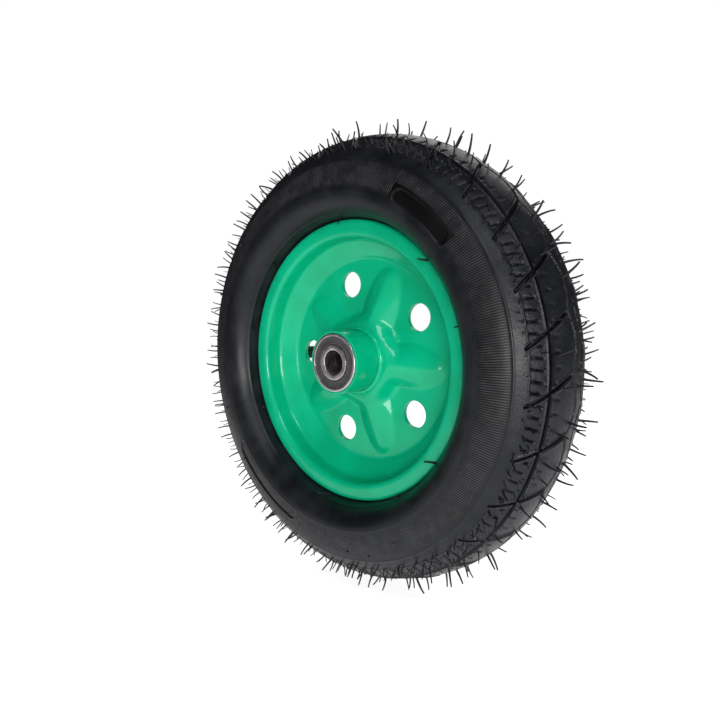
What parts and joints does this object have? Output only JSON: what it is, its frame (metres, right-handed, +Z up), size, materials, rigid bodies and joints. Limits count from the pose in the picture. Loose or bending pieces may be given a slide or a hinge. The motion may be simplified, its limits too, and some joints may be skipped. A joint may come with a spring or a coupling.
{
  "type": "barrow wheel",
  "caption": "Air-filled barrow wheel: treaded tyre with inner tube on a two-piece pressed steel rim, hub tube and sealed ball bearings, with a valve.",
  "frame": {"origin": "the wheel's centre, midway between the two bearing faces on the axle line", "axes": "+Y along the axle, +Z up; the front of the wheel faces -Y and the valve is on the +Y side"},
  "size_m": [0.363, 0.0964, 0.363],
  "materials": {
    "tyre_rubber": "satin moulded black rubber",
    "tube_rubber": "smooth black rubber",
    "green_paint": "glossy green enamel",
    "bearing_steel": "ground bearing steel",
    "zinc_steel": "plain zinc-plated steel",
    "cage_steel": "pressed steel strip",
    "seal_rubber": "matt grey-black moulded rubber",
    "valve_brass": "bare brass",
    "cap_plastic": "matt black plastic"
  },
  "bodies": {
    "axle_side": {"front_bearing_inner_race": "bearing_steel", "rear_bearing_inner_race": "bearing_steel", "axle_spacer": "zinc_steel"},
    "wheel": {"tyre": "tyre_rubber", "inner_tube": "tube_rubber", "rim_front_half": "green_paint", "rim_rear_half": "green_paint", "hub_tube": "green_paint", "front_hub_weld": "green_paint", "rear_hub_weld": "green_paint", "front_bearing_outer_race": "bearing_steel", "front_bearing_outer_seal": "seal_rubber", "front_bearing_inner_seal": "seal_rubber", "rear_bearing_outer_race": "bearing_steel", "rear_bearing_outer_seal": "seal_rubber", "rear_bearing_inner_seal": "seal_rubber", "valve_stem": "tube_rubber", "valve_core": "valve_brass"},
    "front_ball_set": {"front_bearing_cage": "cage_steel", "front_bearing_ball_1": "bearing_steel", "front_bearing_ball_2": "bearing_steel", "front_bearing_ball_3": "bearing_steel", "front_bearing_ball_4": "bearing_steel", "front_bearing_ball_5": "bearing_steel", "front_bearing_ball_6": "bearing_steel", "front_bearing_ball_7": "bearing_steel", "front_bearing_ball_8": "bearing_steel"},
    "rear_ball_set": {"rear_bearing_cage": "cage_steel", "rear_bearing_ball_1": "bearing_steel", "rear_bearing_ball_2": "bearing_steel", "rear_bearing_ball_3": "bearing_steel", "rear_bearing_ball_4": "bearing_steel", "rear_bearing_ball_5": "bearing_steel", "rear_bearing_ball_6": "bearing_steel", "rear_bearing_ball_7": "bearing_steel", "rear_bearing_ball_8": "bearing_steel"},
    "valve_pin": {"valve_pin": "valve_brass"},
    "valve_cap": {"valve_cap": "cap_plastic"}
  },
  "joints": [
    {"name": "wheel_spin", "type": "hinge", "parent": "axle_side", "child": "wheel", "pos_m": [0, 0, 0], "axis": [0, 1, 0], "continuous": true},
    {"name": "front_ball_set_spin", "type": "hinge", "parent": "axle_side", "child": "front_ball_set", "pos_m": [0, -0.035, 0], "axis": [0, 1, 0], "continuous": true},
    {"name": "rear_ball_set_spin", "type": "hinge", "parent": "axle_side", "child": "rear_ball_set", "pos_m": [0, 0.035, 0], "axis": [0, 1, 0], "continuous": true},
    {"name": "valve_pin_press", "type": "slide", "parent": "wheel", "child": "valve_pin", "axis": [0.5058, 0.8619, -0.0354], "range_m": [-0.0015, 0], "stiffness_N_per_m": 2500},
    {"name": "valve_cap_off", "type": "slide", "parent": "wheel", "child": "valve_cap", "axis": [0.5058, 0.8619, -0.0354], "range_m": [0, 0.014]}
  ],
  "couplings": [
    {"joint": "front_ball_set_spin", "follows": "wheel_spin", "ratio": 0.61848},
    {"joint": "rear_ball_set_spin", "follows": "wheel_spin", "ratio": 0.61848}
  ]
}
